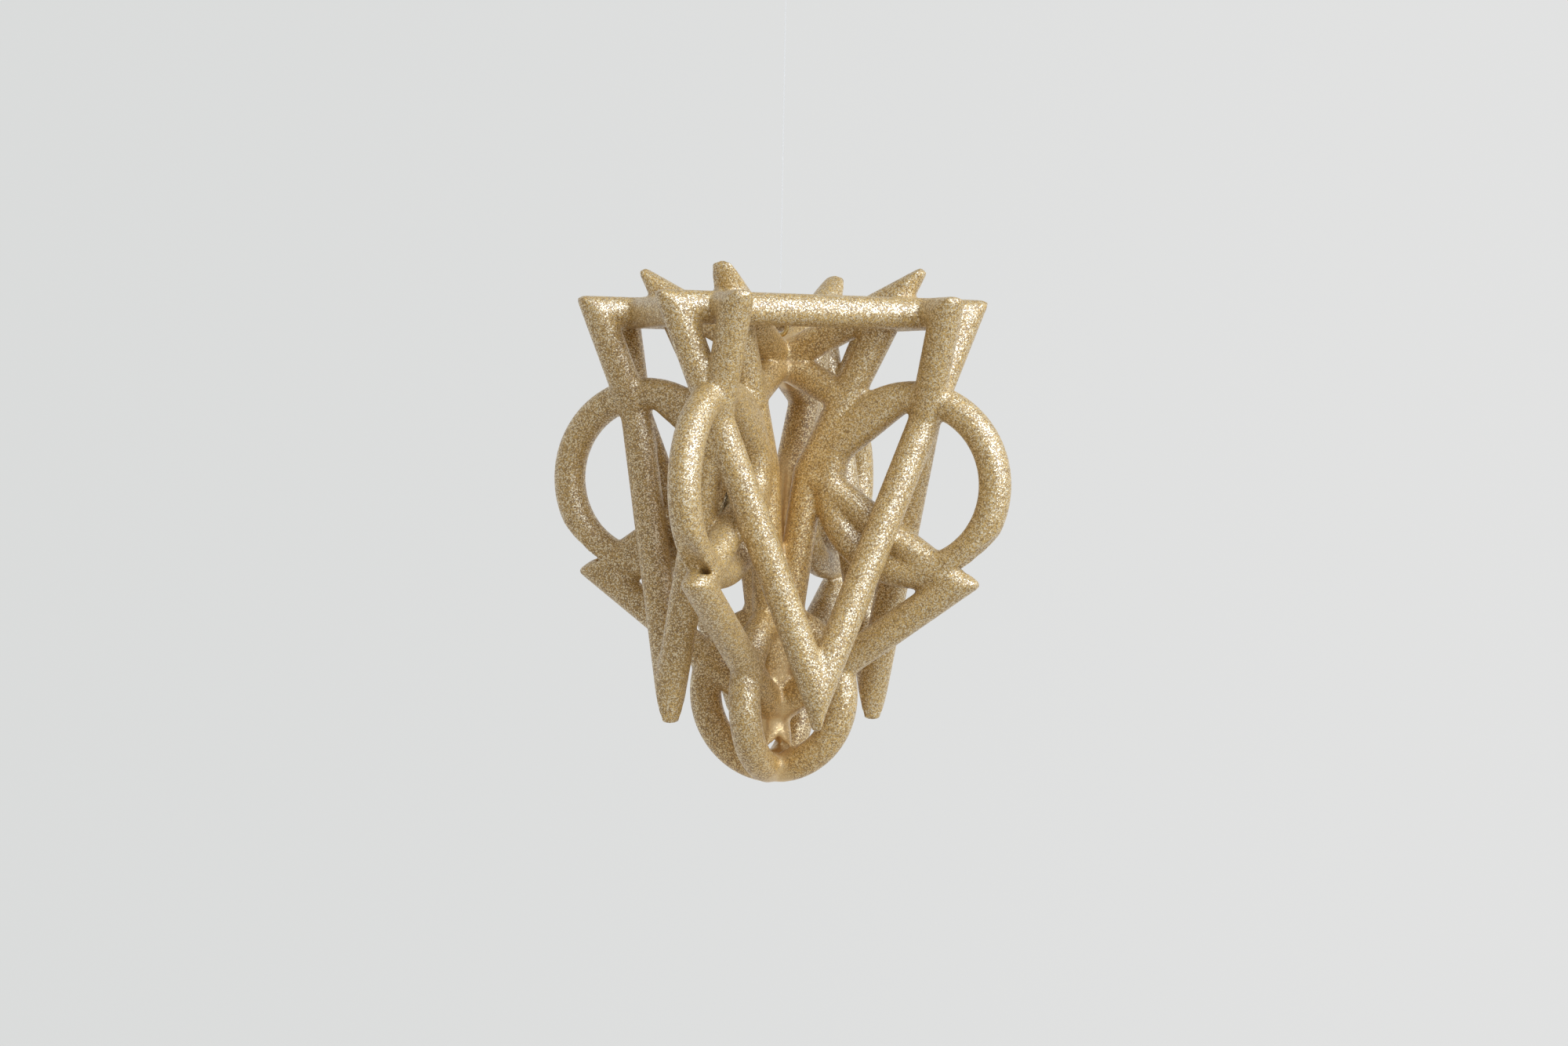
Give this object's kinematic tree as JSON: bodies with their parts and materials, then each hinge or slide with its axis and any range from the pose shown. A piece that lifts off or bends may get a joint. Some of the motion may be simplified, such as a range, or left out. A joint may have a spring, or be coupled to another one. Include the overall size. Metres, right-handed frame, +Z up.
{
  "type": "hanging ornament",
  "caption": "Openwork hanging ornament of round gold-glitter rods: upright triangles, rings and spiked wings round one axis, with a hoop below, on a clear thread with a loop.",
  "frame": {"origin": "inside top of the hanging loop, on the ornament's upright axis", "axes": "+Z up along the thread; the four wings point along +X, +Y, -X and -Y"},
  "size_m": [0.0938, 0.0938, 0.163],
  "materials": {
    "glitter_gold": "fine gold glitter over moulded plastic rods",
    "eye_wire": "bright drawn wire",
    "clear_thread": "clear nylon monofilament"
  },
  "bodies": {
    "loop": {"hanging_loop": "clear_thread", "upper_knot": "clear_thread"},
    "thread": {"hanging_thread": "clear_thread", "lower_knot": "clear_thread", "eye_tie": "clear_thread"},
    "ornament": {"core_rod_back": "glitter_gold", "core_rod_front": "glitter_gold", "core_rod_left": "glitter_gold", "core_rod_right": "glitter_gold", "crown_rod_back": "glitter_gold", "crown_rod_front": "glitter_gold", "crown_rod_left": "glitter_gold", "crown_rod_right": "glitter_gold", "half_hoop_back": "glitter_gold", "half_hoop_front": "glitter_gold", "half_hoop_left": "glitter_gold", "half_hoop_right": "glitter_gold", "hanging_eye": "eye_wire", "hub_brace_back": "glitter_gold", "hub_brace_front": "glitter_gold", "hub_brace_left": "glitter_gold", "hub_brace_right": "glitter_gold", "keel_rod_back": "glitter_gold", "keel_rod_front": "glitter_gold", "keel_rod_left": "glitter_gold", "keel_rod_right": "glitter_gold", "left_leg_left_back": "glitter_gold", "left_leg_left_front": "glitter_gold", "left_leg_right_back": "glitter_gold", "left_leg_right_front": "glitter_gold", "lower_hub": "glitter_gold", "right_leg_left_back": "glitter_gold", "right_leg_left_front": "glitter_gold", "right_leg_right_back": "glitter_gold", "right_leg_right_front": "glitter_gold", "ring_back": "glitter_gold", "ring_front": "glitter_gold", "ring_left": "glitter_gold", "ring_right": "glitter_gold", "spike_rod_back": "glitter_gold", "spike_rod_front": "glitter_gold", "spike_rod_left": "glitter_gold", "spike_rod_right": "glitter_gold", "top_bar_left_back": "glitter_gold", "top_bar_left_front": "glitter_gold", "top_bar_right_back": "glitter_gold", "top_bar_right_front": "glitter_gold", "upper_hub": "glitter_gold", "wing_rod_back": "glitter_gold", "wing_rod_front": "glitter_gold", "wing_rod_left": "glitter_gold", "wing_rod_right": "glitter_gold"}
  },
  "joints": [
    {"name": "spin", "type": "hinge", "parent": "loop", "child": "thread", "pos_m": [0, 0, -0.0113], "axis": [0, 0, 1], "continuous": true},
    {"name": "tilt", "type": "hinge", "parent": "thread", "child": "ornament", "pos_m": [0, 0, -0.0756], "axis": [0, 1, 0], "range_deg": [-45, 45]}
  ]
}
